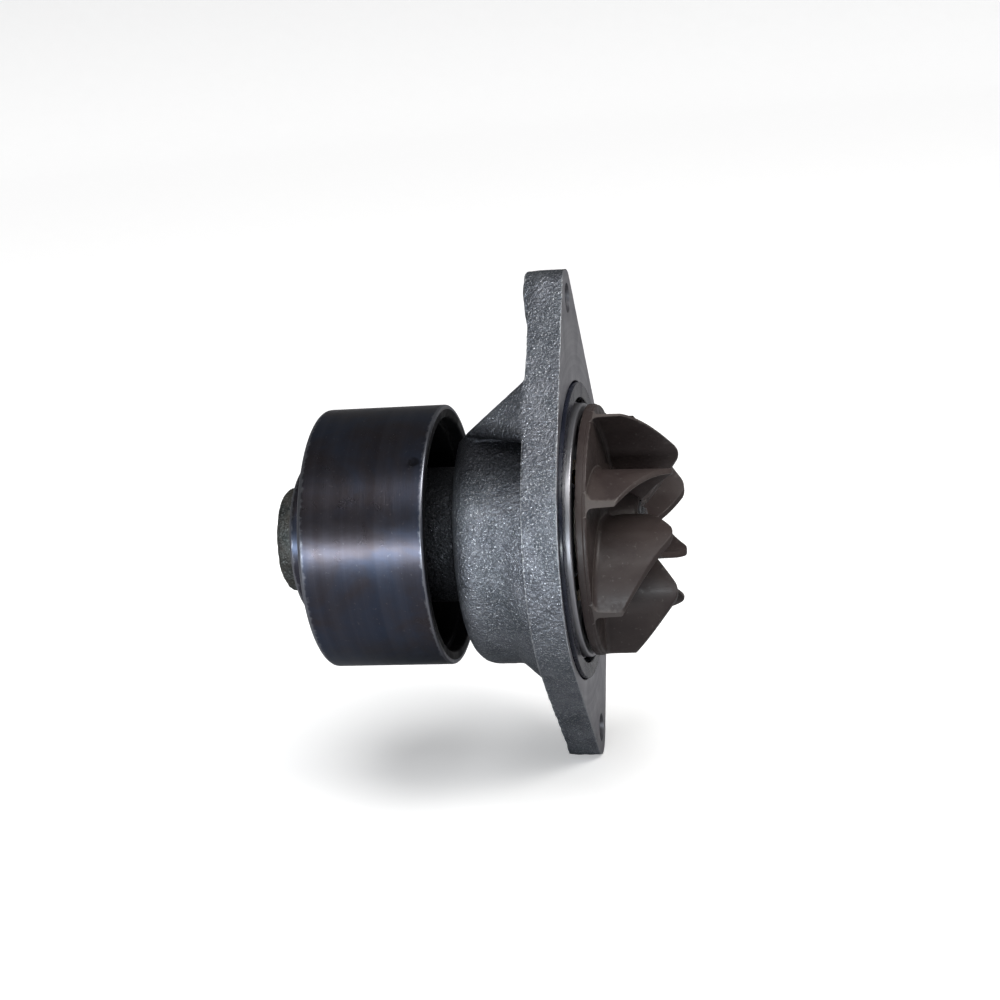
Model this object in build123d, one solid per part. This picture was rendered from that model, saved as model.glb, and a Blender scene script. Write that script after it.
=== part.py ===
"""Engine water pump with a smooth belt pulley, built as separate pieces.

Frame: millimetres, origin on the shaft axis in the plane of the machined flange face.
+X points out of that face toward the impeller, +Z runs along the line of the two bolt holes.
"""
import os
from math import cos, radians, sin, sqrt

from build123d import *

# ---- clearances shared by several pieces ------------------------------------------------
running_gap = 0.05
lip_gap = 0.06

# ---- face groove, seal ring and spigot lip ----------------------------------------------
spigot_radius = 36.6
spigot_wall = 2.8
spigot_height = 2.3
spigot_chamfer = 0.6
groove_shelf = 0.5
groove_depth = 3.0
ring_inner_gap = 1.2
ring_outer_gap = 0.4
ring_width = 4.4
ring_height = 4.1
ring_edge_round = 0.3
pocket_depth = 2.5
groove_inner_radius = spigot_radius + groove_shelf
ring_outer_radius = groove_inner_radius + ring_inner_gap + ring_width
groove_outer_radius = ring_outer_radius + ring_outer_gap

# ---- flange -----------------------------------------------------------------------------
flange_thickness = 10.0
bolt_spacing = 131.3
bolt_hole_radius = 4.25
bolt_line_offset_y = 6.0
bolt_centre_z = 1.05
ear_wall = 4.15
ear_radius = bolt_hole_radius + ear_wall
bolt_pad_height = 1.8
pad_land = 5.4
pad_radius = groove_outer_radius + pad_land
pad_offset_y = 3.5
cast_edge_round = 1.2

# ---- drum and gusset of the housing -----------------------------------------------------
drum_radius = 38.3
drum_length = 21.4
drum_edge_round = 6.5
drum_back_x = -flange_thickness - drum_length
gusset_rise = 11.1
gusset_top_z = drum_radius + gusset_rise
gusset_top_y = -20.0
gusset_slope_deg = 39.3
gusset_side_fall_deg = 8.0
gusset_bite = 4.8
gusset_inset = 9.3
gusset_edge_round = 2.0
buttress_length = 7.6
buttress_drop = 4.0
buttress_rise = 2.8

# ---- mechanical seal, along the shaft axis ----------------------------------------------
case_length = 11.5
case_wall = 0.8
case_brim = 2.2
seal_face_x = -0.6
carbon_length = 4.0
mating_thickness = 2.6
cup_wall = 0.9
spring_wire_radius = 0.5
spring_pitch = 1.5
seal_floor_x = -pocket_depth - case_length
carbon_back_x = seal_face_x - carbon_length

# ---- pulley, along the shaft axis -------------------------------------------------------
pulley_radius = 38.0
pulley_width = 35.9
pulley_gap_to_drum = 7.0
rim_wall = 3.6
rim_step_depth = 4.0
rim_step_height = 1.4
rim_edge_round = 1.0
web_thickness = 5.3
cup_floor_gap = 3.7
shoulder_height = 7.3
boss_height = 13.7
boss_edge_round = 2.0
pulley_back_x = drum_back_x - pulley_gap_to_drum
pulley_front_x = pulley_back_x - pulley_width
cup_floor_x = pulley_front_x + web_thickness
hub_end_x = pulley_front_x - boss_height

# ---- bearing ----------------------------------------------------------------------------
shaft_radius = 7.96
chamber_length = 11.5
sleeve_recess = 0.8
ball_radius = 3.0
ball_count = 8
ball_groove_depth = 0.81
sleeve_groove_depth = 0.95
sleeve_wall = 2.8
ball_row_share = 0.24
roller_radius = 2.5
roller_length = 9.0
roller_count = 9
roller_row_share = 0.74
roller_end_gap = 0.2
cage_wall = 2.6
cage_gap = 0.4
ball_pitch_radius = shaft_radius + ball_radius - ball_groove_depth
sleeve_bore_radius = ball_pitch_radius + ball_radius - sleeve_groove_depth
bearing_outer_radius = sleeve_bore_radius + sleeve_wall
roller_pitch_radius = shaft_radius + running_gap + roller_radius
bearing_end_x = seal_floor_x - chamber_length
snout_end_x = cup_floor_x + cup_floor_gap
bearing_start_x = snout_end_x + sleeve_recess
bearing_length = bearing_end_x - bearing_start_x
ball_row_x = bearing_end_x - bearing_length * ball_row_share
roller_row_x = bearing_end_x - bearing_length * roller_row_share

# ---- snout of the housing and weep hole -------------------------------------------------
snout_wall = 5.0
snout_radius = bearing_outer_radius + snout_wall
snout_root_round = 4.0
chamber_step = 1.6
weep_radius = 2.5
weep_from_seal = 5.5
weep_x = seal_floor_x - weep_from_seal
filter_length = 6.0
filter_recess = 2.0

# ---- bores and walls round the shaft ----------------------------------------------------
boss_wall = 7.54
boss_radius = shaft_radius + boss_wall
shoulder_step = 6.5
shoulder_radius = boss_radius + shoulder_step
seal_shaft_gap = 2.2
carbon_shaft_gap = 2.14
carbon_wall = 2.3
carbon_inner_radius = shaft_radius + carbon_shaft_gap
carbon_outer_radius = carbon_inner_radius + carbon_wall
case_room = 5.8
case_radius = carbon_outer_radius + case_room

# ---- impeller ---------------------------------------------------------------------------
disc_radius = 36.2
disc_clearance = 1.1
disc_thickness = 3.0
disc_back_x = spigot_height + disc_clearance
disc_front_x = disc_back_x + disc_thickness
vane_count = 7
vane_thickness = 2.4
vane_tip_radius = 21.6
vane_tip_height = 25.8
vane_tip_round = 2.8
vane_edge_round = 0.8
vane_margin = 0.3
vane_outer_radius = disc_radius - vane_margin
vane_outer_height = 10.9
vane_inner_height = 14.6
vane_phase_deg = 203.5
vane_sweep_deg = 35.0
vane_inner_sweep_deg = 27.0
shaft_step = 1.61
shaft_step_back = 0.4
shaft_end_height = 15.2
insert_wall = 2.05
insert_height = 14.4
hub_wall = 2.0
hub_taper = 4.6
hub_height = 13.8
shaft_end_radius = shaft_radius - shaft_step
insert_radius = shaft_end_radius + insert_wall
hub_top_radius = insert_radius + hub_wall
hub_foot_radius = hub_top_radius + hub_taper
vane_inner_radius = insert_radius + 0.2
vane_tip_x = disc_back_x + vane_tip_height
vane_outer_x = disc_back_x + vane_outer_height
vane_inner_x = disc_back_x + vane_inner_height
hub_top_x = disc_back_x + hub_height
shaft_end_x = disc_back_x + shaft_end_height
shaft_step_x = disc_back_x - shaft_step_back


def around_x(points, turn=360):
    """Solid of revolution about the shaft axis from (x, radius) points."""
    section = Plane.XZ * make_face(Polyline(*points, close=True))
    return revolve(section, Axis.X, turn)


def tube(x0, x1, outer, inner=0.0):
    """Plain ring or rod along the shaft axis."""
    if inner > 0:
        return around_x([(x0, inner), (x1, inner), (x1, outer), (x0, outer)])
    return around_x([(x0, 0), (x1, 0), (x1, outer), (x0, outer)])


def on_axis_ring(shape, count, start_deg=0.0):
    """Copies of a shape spaced evenly about the shaft axis."""
    step = 360.0 / count
    return [Rot(start_deg + step * i, 0, 0) * shape for i in range(count)]


# ---- housing ----------------------------------------------------------------------------

def bolt_points():
    """Centres of the two bolt holes as (y, z)."""
    half = bolt_spacing / 2
    return [(bolt_line_offset_y, bolt_centre_z + half), (bolt_line_offset_y, bolt_centre_z - half)]


def flange_outline():
    """Edges of the round pad and the two ears, wrapped in one tight loop."""
    circles = [Pos(pad_offset_y, 0) * Circle(pad_radius)]
    circles += [Pos(y, z) * Circle(ear_radius) for y, z in bolt_points()]
    return make_hull(ShapeList([c.edge() for c in circles]))


def plate_from(face, x0, x1):
    """Sketch drawn in (y, z), extruded along the shaft axis between two stations."""
    return extrude(Plane.YZ.offset(x0) * face, x1 - x0)


def sloping_cut():
    """Everything above the sloping top, behind the flange."""
    x1 = -flange_thickness
    size = 8 * pad_radius
    block = Box(size, size, size, align=(Align.CENTER, Align.CENTER, Align.MIN))
    tilt = Rot(-gusset_side_fall_deg, 0, 0) * Rot(0, -gusset_slope_deg, 0)
    lifted = Pos(x1, gusset_top_y, gusset_top_z) * tilt * block
    behind = Box(size, size, size, align=(Align.MAX, Align.CENTER, Align.CENTER))
    return lifted & (Pos(x1, 0, 0) * behind)


def ear_edge_y(side, z, inset):
    """Where the straight edge beside the upper ear lies at a height; side is -1 or +1."""
    ear_y, ear_z = bolt_points()[0]
    reach = sqrt((ear_y - pad_offset_y) ** 2 + ear_z ** 2)
    along_y = (ear_y - pad_offset_y) / reach
    along_z = ear_z / reach
    rise = (pad_radius - ear_radius) / reach
    run = sqrt(1 - rise * rise)
    normal_y = along_y * rise + side * along_z * run
    normal_z = along_z * rise - side * along_y * run
    return (normal_y * pad_offset_y + pad_radius - inset - normal_z * z) / normal_y


def gusset():
    """Wedge under the upper ear, tapered into the drum and cut by the sloping top."""
    low = drum_radius - gusset_bite
    high = gusset_top_z + 4.0
    sections = []
    for x, inset in ((-flange_thickness, 0.0), (drum_back_x, gusset_inset)):
        corners = [
            (ear_edge_y(side, z, inset), z)
            for side, z in ((-1, low), (-1, high), (1, high), (1, low))]
        sections.append(Plane.YZ.offset(x) * make_face(Polyline(*corners, close=True)))
    block = loft(sections, ruled=True) - sloping_cut()
    slope = block.faces().filter_by(lambda f: f.normal_at().X < -0.3 and f.normal_at().Z > 0.3)[0]
    sides = [
        e for e in slope.edges()
        if abs((e @ 0).X - (e @ 1).X) > drum_length / 3 and abs((e @ 0).Y - (e @ 1).Y) < pad_radius / 3]
    return fillet(sides, gusset_edge_round)


def drum():
    """Round body behind the flange, its outer corner rounded and its top cut by the slope."""
    front = -flange_thickness / 2
    section = Plane.XZ * make_face(Polyline(
        (drum_back_x, 0), (drum_back_x, drum_radius), (front, drum_radius), (front, 0), close=True))
    corner = section.vertices().sort_by(Axis.Z)[-2:].sort_by(Axis.X)[0]
    section = fillet([corner], drum_edge_round)
    return revolve(section, Axis.X, 360) - sloping_cut()


def buttress():
    """Slanted blend between the underside of the drum and the flange."""
    low = Plane.YZ.offset(-flange_thickness - buttress_length) * Circle(drum_radius - 0.2)
    high = Plane.YZ.offset(-flange_thickness) * Pos(0, -buttress_drop) * Circle(drum_radius + buttress_rise)
    return loft([low, high])


def snout():
    """Rough tube that carries the bearing, blended into the drum face."""
    back = drum_back_x
    end = snout_end_x
    root = snout_root_round
    section = Plane.XZ * make_face(Polyline(
        (end, 0), (end, snout_radius - 1.0), (end + 1.0, snout_radius), (back, snout_radius),
        (back, snout_radius + 2 * root), (back + 1, snout_radius + 2 * root), (back + 1, 0), close=True))
    inside = [v for v in section.vertices() if abs(v.X - back) < 0.01 and v.Z < snout_radius + 0.01]
    section = fillet(inside, root)
    return revolve(section, Axis.X, 360)


def housing_blank():
    """Outside of the casting before any machining."""
    plate = plate_from(flange_outline(), -flange_thickness, 0)
    upper_y, upper_z = bolt_points()[0]
    bolt_pad = Pos(upper_y, upper_z) * Circle(ear_radius)
    plate += plate_from(bolt_pad, -flange_thickness - bolt_pad_height, -flange_thickness / 2)
    back_edges = plate.edges().group_by(Axis.X)[0]
    plate = fillet(back_edges, cast_edge_round)
    return plate + drum() + gusset() + buttress() + snout()


def housing():
    """Casting with its turned face, groove, bores, bolt holes and weep hole."""
    body = housing_blank()
    body += tube(-1, spigot_height, spigot_radius)
    body -= tube(-groove_depth, spigot_height + 1, groove_outer_radius, groove_inner_radius)
    body -= tube(-pocket_depth, spigot_height + 1, spigot_radius - spigot_wall)
    body -= tube(seal_floor_x, 1, case_radius)
    body -= tube(bearing_end_x, seal_floor_x + 1, bearing_outer_radius - chamber_step)
    body -= tube(snout_end_x - 1, bearing_end_x, bearing_outer_radius)
    lip_in = spigot_radius - spigot_wall
    past = spigot_height + 0.1
    cut = spigot_chamfer
    body -= around_x([
        (past, spigot_radius - cut - 0.1), (past, spigot_radius + 0.1),
        (spigot_height - cut, spigot_radius + 0.1), (spigot_height - cut, spigot_radius)])
    body -= around_x([
        (past, lip_in - 0.1), (past, lip_in + cut - 0.1),
        (spigot_height - cut + 0.1, lip_in), (spigot_height - cut + 0.1, lip_in - 0.1)])
    for y, z in bolt_points():
        hole = Cylinder(bolt_hole_radius, flange_thickness + 4)
        body -= Pos(-flange_thickness / 2, y, z) * Rot(0, 90, 0) * hole
    drill = Cylinder(weep_radius, drum_radius, align=(Align.CENTER, Align.CENTER, Align.MAX))
    body -= Pos(weep_x, 0, -8) * drill
    return body


def weep_filter():
    """Porous plug near the mouth of the weep hole."""
    plug = Cylinder(weep_radius, filter_length, align=(Align.CENTER, Align.CENTER, Align.MIN))
    return Pos(weep_x, 0, filter_recess - drum_radius) * plug


def flange_seal_ring():
    """Rectangular rubber ring seated in the face groove."""
    x1 = ring_height - groove_depth
    inner = ring_outer_radius - ring_width
    ring = tube(-groove_depth, x1, ring_outer_radius, inner)
    return fillet(ring.edges().group_by(Axis.X)[-1], ring_edge_round)


# ---- bearing ----------------------------------------------------------------------------

def ball_track():
    """Ring-shaped space the balls roll in."""
    section = Plane.XZ * Pos(ball_row_x, ball_pitch_radius) * Circle(ball_radius + running_gap)
    return revolve(section, Axis.X, 360)


def bearing_outer_sleeve():
    """Hardened sleeve with a ball groove and a roller track."""
    x0 = bearing_start_x
    x1 = bearing_end_x
    outer = bearing_outer_radius
    sleeve = around_x([
        (x0, sleeve_bore_radius), (x1, sleeve_bore_radius), (x1, outer - 0.5), (x1 - 0.5, outer),
        (x0 + 0.5, outer), (x0, outer - 0.5)])
    track = roller_pitch_radius + roller_radius + running_gap
    half = roller_length / 2 + roller_end_gap
    sleeve -= tube(roller_row_x - half, roller_row_x + half, track)
    return sleeve - ball_track()


def bearing_balls():
    """Ball row, one group."""
    ball = Pos(ball_row_x, 0, ball_pitch_radius) * Sphere(ball_radius)
    return Compound(children=on_axis_ring(ball, ball_count))


def ball_cage():
    """Ring with a round pocket for each ball."""
    half = ball_radius + 1.2
    inner = ball_pitch_radius - cage_wall / 2
    ring = tube(ball_row_x - half, ball_row_x + half, inner + cage_wall, inner)
    for ball in on_axis_ring(Pos(ball_row_x, 0, ball_pitch_radius) * Sphere(ball_radius), ball_count):
        ring -= ball
    return ring


def roller_blank():
    """One roller in its place at the top of the row."""
    roller = Rot(0, 90, 0) * Cylinder(roller_radius, roller_length)
    return Pos(roller_row_x, 0, roller_pitch_radius) * roller


def bearing_rollers():
    """Roller row, one group."""
    roller = roller_blank()
    roller = chamfer(roller.edges(), 0.3)
    return Compound(children=on_axis_ring(roller, roller_count))


def roller_cage():
    """Ring with a long pocket for each roller."""
    half = roller_length / 2 + 1.5
    outer = sleeve_bore_radius - cage_gap
    ring = tube(roller_row_x - half, roller_row_x + half, outer, outer - cage_wall)
    for roller in on_axis_ring(roller_blank(), roller_count):
        ring -= roller
    return ring


def bearing_seal(x0):
    """Lip seal pressed into one end of the sleeve."""
    inner = shaft_radius + lip_gap
    return around_x([
        (x0, inner), (x0 + 0.5, inner), (x0 + 0.9, inner + 1.6), (x0 + 1.8, inner + 1.6),
        (x0 + 1.8, sleeve_bore_radius), (x0, sleeve_bore_radius)])


def bearing_seal_front():
    """Seal at the pulley end."""
    return bearing_seal(bearing_start_x + 0.6)


def bearing_seal_rear():
    """Seal at the coolant end, facing the other way."""
    return mirror(bearing_seal(0), Plane.YZ).moved(Location((bearing_end_x - 0.6, 0, 0)))


# ---- rotor ------------------------------------------------------------------------------

def shaft():
    """Bearing shaft, stepped down where it carries the impeller."""
    step_x = shaft_step_x
    start = hub_end_x + 1.5
    rod = around_x([
        (start, 0), (start, shaft_radius - 0.8), (start + 0.8, shaft_radius), (step_x, shaft_radius),
        (step_x, shaft_end_radius), (shaft_end_x - 0.6, shaft_end_radius),
        (shaft_end_x, shaft_end_radius - 0.6), (shaft_end_x, 0)])
    rod -= ball_track()
    centre_cut = around_x([(start - 1, 0), (start - 1, 2.6), (start + 1.6, 0)])
    return rod - centre_cut


def pulley():
    """Smooth belt cup with a boss on its closed side."""
    front = pulley_front_x
    back = pulley_back_x
    inner = pulley_radius - rim_wall
    step = inner - rim_step_height
    edge = rim_edge_round
    return around_x([
        (hub_end_x, shaft_radius), (hub_end_x, boss_radius - boss_edge_round),
        (hub_end_x + boss_edge_round, boss_radius), (front - shoulder_height, boss_radius),
        (front - shoulder_height, shoulder_radius - 0.8), (front - shoulder_height + 0.8, shoulder_radius),
        (front, shoulder_radius), (front, pulley_radius - edge), (front + edge, pulley_radius),
        (back - edge, pulley_radius), (back, pulley_radius - edge), (back, inner),
        (back - rim_step_depth, inner), (back - rim_step_depth, step), (cup_floor_x, step),
        (cup_floor_x, shaft_radius)])


def spiral_angle(radius):
    """Turn of the vane's middle line at a radius, in degrees from the vane tip."""
    if radius > vane_tip_radius:
        return vane_sweep_deg * (radius - vane_tip_radius) / (vane_outer_radius - vane_tip_radius)
    return vane_inner_sweep_deg * (radius - vane_tip_radius) / (vane_tip_radius - vane_inner_radius)


def spiral_point(radius, shift):
    """Point of the spiral moved sideways by half a thickness."""
    a = radians(spiral_angle(radius))
    b = radians(spiral_angle(radius + 0.5))
    ty = (radius + 0.5) * cos(b) - radius * cos(a)
    tz = (radius + 0.5) * sin(b) - radius * sin(a)
    size = sqrt(ty * ty + tz * tz)
    return (radius * cos(a) - shift * tz / size, radius * sin(a) + shift * ty / size)


def vane_strip():
    """Plan shape of one vane, drawn in (y, z)."""
    start = insert_radius - 0.6
    stop = vane_outer_radius + 3
    stations = [start + (stop - start) * i / 6 for i in range(7)]
    half = vane_thickness / 2
    left = [spiral_point(r, half) for r in stations]
    right = [spiral_point(r, -half) for r in reversed(stations)]
    one = Spline(*left)
    two = Spline(*right)
    return make_face([one, Line(left[-1], right[0]), two, Line(right[-1], left[0])])


def vane_envelope():
    """Space the vanes may fill, with rounded outer and tip corners."""
    foot = disc_back_x + disc_thickness / 2
    section = Plane.XZ * make_face(Polyline(
        (foot, insert_radius + 0.5), (foot, vane_outer_radius), (vane_outer_x, vane_outer_radius),
        (vane_tip_x, vane_tip_radius), (vane_inner_x, vane_inner_radius + 0.4),
        (vane_inner_x - 2, insert_radius + 0.5), close=True))
    corners = section.vertices()
    tip = corners.sort_by(Axis.X)[-1]
    outer = corners.filter_by(lambda v: v.Z > vane_outer_radius - 0.01).sort_by(Axis.X)[-1]
    section = fillet([tip], vane_tip_round)
    edge = [v for v in section.vertices() if (Vector(v) - Vector(outer)).length < 0.01]
    section = fillet(edge, vane_edge_round)
    return revolve(section, Axis.X, 360)


def impeller():
    """Moulded disc, hub cone and seven curved vanes."""
    front = disc_front_x
    body = around_x([
        (disc_back_x, insert_radius), (disc_back_x, disc_radius - 0.4), (disc_back_x + 0.4, disc_radius),
        (front - 0.4, disc_radius), (front, disc_radius - 0.4), (front + 1.4, hub_foot_radius + 4),
        (front + 3.2, hub_foot_radius), (hub_top_x - 1.0, hub_top_radius),
        (hub_top_x, hub_top_radius - 1.0), (hub_top_x, insert_radius)])
    strip = plate_from(vane_strip(), disc_back_x + disc_thickness / 2, vane_tip_x + 1)
    vane = strip & vane_envelope()
    for blade in on_axis_ring(vane, vane_count, vane_phase_deg - vane_sweep_deg):
        body += blade
    return body


def impeller_insert():
    """Metal bush moulded into the impeller hub."""
    return tube(disc_back_x, disc_back_x + insert_height, insert_radius, shaft_end_radius)


def slinger():
    """Thin ring that throws leaked coolant into the weep chamber."""
    x0 = bearing_end_x + 1.5
    return around_x([
        (x0, shaft_radius), (x0, shaft_radius + 2.0), (x0 + 0.8, shaft_radius + 3.8),
        (x0 + 1.8, shaft_radius + 3.8), (x0 + 1.2, shaft_radius + 1.4), (x0 + 3.0, shaft_radius + 1.4),
        (x0 + 3.0, shaft_radius)])


# ---- mechanical seal --------------------------------------------------------------------

def seal_case():
    """Pressed cup seated in the housing, open toward the impeller."""
    x0 = seal_floor_x
    x1 = -pocket_depth
    hole = shaft_radius + seal_shaft_gap
    return around_x([
        (x0, hole), (x0, case_radius), (x1, case_radius), (x1, case_radius + case_brim),
        (x1 + case_wall, case_radius + case_brim), (x1 + case_wall, case_radius - case_wall),
        (x0 + case_wall, case_radius - case_wall), (x0 + case_wall, hole)])


def seal_bellows():
    """Rubber sleeve from the floor of the case to the carbon ring."""
    x0 = seal_floor_x + case_wall
    x1 = carbon_back_x
    inner = shaft_radius + seal_shaft_gap
    flange_radius = case_radius - case_wall - 1.6
    mid = (x0 + x1) / 2
    return around_x([
        (x0, inner), (x1, inner), (x1, carbon_outer_radius + 0.6), (x1 - 1.2, carbon_outer_radius + 0.6),
        (x1 - 1.2, inner + 1.2), (mid + 1, inner + 1.2), (mid, inner + 2.2), (mid - 1, inner + 1.2),
        (x0 + 1.2, inner + 1.2), (x0 + 1.2, flange_radius), (x0, flange_radius)])


def spring_seat():
    """Washer that carries the spring's load to the carbon ring."""
    x1 = carbon_back_x - 1.2
    return tube(x1 - 0.8, x1, case_radius - case_wall - 0.6, shaft_radius + 3.6)


def seal_spring():
    """Coil spring between the floor of the case and the spring seat."""
    x0 = seal_floor_x + case_wall + 1.2
    x1 = carbon_back_x - 2.0
    radius = case_radius - case_wall - 2.6
    height = x1 - x0 - 2 * spring_wire_radius
    path = Helix(spring_pitch, height, radius)
    section = Plane(origin=path @ 0, z_dir=path % 0) * Circle(spring_wire_radius)
    wire = sweep(section, path=path, is_frenet=True)
    return Pos(x0 + spring_wire_radius, 0, 0) * Rot(0, 90, 0) * wire


def bellows_band():
    """Metal band that grips the carbon ring in the bellows."""
    x1 = carbon_back_x
    return tube(x1 - 1.2, x1 + 2.0, carbon_outer_radius + 1.2, carbon_outer_radius + 0.6)


def carbon_ring():
    """Carbon face ring with a narrow running nose."""
    x0 = carbon_back_x
    nose = 1.0
    outer = carbon_outer_radius
    return around_x([
        (x0, carbon_inner_radius), (seal_face_x, carbon_inner_radius), (seal_face_x, outer - 0.6),
        (seal_face_x - nose, outer - 0.6), (seal_face_x - nose, outer),
        (x0 + 2.0, outer), (x0 + 2.0, outer + 0.6), (x0, outer + 0.6)])


def mating_ring():
    """Ceramic ring that turns with the shaft."""
    x0 = seal_face_x + running_gap
    inner = shaft_radius + cup_wall
    return tube(x0, x0 + mating_thickness, carbon_outer_radius + 0.4, inner)


def mating_ring_cup():
    """Rubber cup between the ceramic ring and the shaft."""
    x0 = seal_face_x + running_gap + 0.3
    x1 = seal_face_x + running_gap + mating_thickness
    return around_x([
        (x0, shaft_radius), (x0, shaft_radius + cup_wall), (x1, shaft_radius + cup_wall),
        (x1, carbon_outer_radius + 0.4), (shaft_step_x, carbon_outer_radius + 0.4),
        (shaft_step_x, shaft_radius)])


PARTS = {
    "housing": housing,
    "flange_seal_ring": flange_seal_ring,
    "weep_filter": weep_filter,
    "bearing_outer_sleeve": bearing_outer_sleeve,
    "bearing_seal_front": bearing_seal_front,
    "bearing_seal_rear": bearing_seal_rear,
    "seal_case": seal_case,
    "seal_bellows": seal_bellows,
    "seal_spring": seal_spring,
    "spring_seat": spring_seat,
    "bellows_band": bellows_band,
    "carbon_ring": carbon_ring,
    "shaft": shaft,
    "pulley": pulley,
    "impeller": impeller,
    "impeller_insert": impeller_insert,
    "slinger": slinger,
    "mating_ring": mating_ring,
    "mating_ring_cup": mating_ring_cup,
    "bearing_balls": bearing_balls,
    "ball_cage": ball_cage,
    "bearing_rollers": bearing_rollers,
    "roller_cage": roller_cage,
}

os.makedirs("parts", exist_ok=True)
for name, make in PARTS.items():
    shape = make()
    export_step(shape, f"parts/{name}.step")
    size = shape.bounding_box().size
    print(f"{name}: {shape.volume:.0f} mm3, {size.X:.1f} x {size.Y:.1f} x {size.Z:.1f} mm")
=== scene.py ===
# %% [markdown]
# # An engine water pump, dressed for its portrait
#
# The pump has three big visible pieces: a sand-cast iron housing, a smooth steel belt
# pulley and a moulded plastic impeller. The CAD model has every piece in its place, but its
# surfaces are perfect and bare. This notebook keeps that frame, rebuilds the three big
# pieces with the surfaces that casting, turning and moulding leave, and gives every other
# piece a finish. We start by loading the frame and noting how large it is, because the
# finished model has to stay inside that box.

# %% Load the frame
import math
import bmesh
import bpy
from mathutils import Matrix, Vector, noise


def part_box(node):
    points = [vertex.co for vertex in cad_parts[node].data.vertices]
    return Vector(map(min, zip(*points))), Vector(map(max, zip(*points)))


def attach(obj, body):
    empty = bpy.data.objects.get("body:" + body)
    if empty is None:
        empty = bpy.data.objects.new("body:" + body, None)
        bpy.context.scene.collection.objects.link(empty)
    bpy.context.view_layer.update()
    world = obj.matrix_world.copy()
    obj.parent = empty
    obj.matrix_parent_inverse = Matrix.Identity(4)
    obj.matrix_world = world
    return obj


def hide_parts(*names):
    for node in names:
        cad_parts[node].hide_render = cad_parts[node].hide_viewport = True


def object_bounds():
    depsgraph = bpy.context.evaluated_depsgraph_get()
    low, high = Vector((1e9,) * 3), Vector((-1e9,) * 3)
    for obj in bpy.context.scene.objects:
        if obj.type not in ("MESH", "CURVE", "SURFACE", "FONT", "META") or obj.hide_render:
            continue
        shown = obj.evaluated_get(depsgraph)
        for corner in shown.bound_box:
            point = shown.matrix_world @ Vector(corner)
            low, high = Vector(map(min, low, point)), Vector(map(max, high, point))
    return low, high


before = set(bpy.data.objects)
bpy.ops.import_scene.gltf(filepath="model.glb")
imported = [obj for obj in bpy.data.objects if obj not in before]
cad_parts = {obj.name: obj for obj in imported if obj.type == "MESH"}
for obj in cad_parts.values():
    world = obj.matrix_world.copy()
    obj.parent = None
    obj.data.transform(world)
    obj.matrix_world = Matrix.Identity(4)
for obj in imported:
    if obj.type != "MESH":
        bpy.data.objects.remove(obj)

cad_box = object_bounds()
mm = 0.001
scene = bpy.context.scene
print("frame", [round(v / mm, 1) for corner in cad_box for v in corner])

# %% [markdown]
# ## Sizes
#
# The frame gives the outer size of each piece. A few inner sizes, such as the depth of the
# seal groove, can't be read from a box, so they are named here once, in millimetres turned
# into metres. The shaft runs along X, so a turned shape is described by pairs of
# (x, radius).

# %% Sizes
housing_low, housing_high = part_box("housing")
pulley_low, pulley_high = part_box("pulley")
impeller_low, impeller_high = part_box("impeller")
ring_low, ring_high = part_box("flange_seal_ring")
sleeve_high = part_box("bearing_outer_sleeve")[1]
case_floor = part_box("seal_case")[0].x
insert_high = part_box("impeller_insert")[1]
shaft_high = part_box("shaft")[1]

ring_radius = ring_high.z
groove_radius = ring_radius + 0.4 * mm
groove_inner_radius = ring_radius - 5.6 * mm
groove_depth = -ring_low.x
spigot_radius = groove_inner_radius - 0.5 * mm
spigot_bore = spigot_radius - 2.8 * mm
pocket_depth = 2.5 * mm
case_radius = spigot_bore - 15.6 * mm
chamber_radius = sleeve_high.z - 1.6 * mm
bolt_hole_radius = 4.25 * mm
bolt_y = 6.0 * mm
bolt_z = (66.7 * mm, -64.6 * mm)
weep_x = -19.5 * mm
weep_radius = 2.5 * mm
print("seal ring radius", round(ring_radius / mm, 2), "mm")

# %% [markdown]
# ## Mesh helpers
#
# Most of a pump is turned on a lathe, so the first helper draws a closed outline with
# rounded corners and the second spins it about the shaft. A real edge is never perfectly
# sharp: the small arc on each corner is what catches the light and makes metal look solid.

# %% Rounded outlines and a lathe
def rounded(corners, steps=4):
    """Closed outline from (x, radius, corner round), each corner turned into a short arc."""
    points = []
    for i, (x, r, bend) in enumerate(corners):
        here = Vector((x, r))
        if not bend:
            points.append(here)
            continue
        back = (Vector(corners[i - 1][:2]) - here).normalized()
        ahead = (Vector(corners[(i + 1) % len(corners)][:2]) - here).normalized()
        half = back.angle(ahead) / 2
        centre = here + (back + ahead).normalized() * bend / math.sin(half)
        start = here + back * bend / math.tan(half) - centre
        turn = start.angle_signed(here + ahead * bend / math.tan(half) - centre)
        for k in range(steps + 1):
            points.append(centre + Matrix.Rotation(-turn * k / steps, 2) @ start)
    return points


def spaced(points, step):
    """The same closed outline with no stretch longer than step."""
    result = []
    for i, here in enumerate(points):
        ahead = points[(i + 1) % len(points)]
        count = max(1, math.ceil((ahead - here).length / step))
        result += [here.lerp(ahead, k / count) for k in range(count)]
    return result


def mesh_object(name, mesh):
    """Puts a mesh in the scene at the origin."""
    made = bpy.data.objects.new(name, mesh)
    scene.collection.objects.link(made)
    return made


def finish_mesh(bm, name, sharp_degrees=38):
    """Merges doubles, points the faces outwards, shades smooth up to an angle."""
    bmesh.ops.remove_doubles(bm, verts=bm.verts, dist=1e-7)
    bmesh.ops.recalc_face_normals(bm, faces=bm.faces)
    mesh = bpy.data.meshes.new(name)
    bm.to_mesh(mesh)
    bm.free()
    mesh.shade_smooth()
    mesh.set_sharp_from_angle(angle=math.radians(sharp_degrees))
    return mesh_object(name, mesh)


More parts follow.
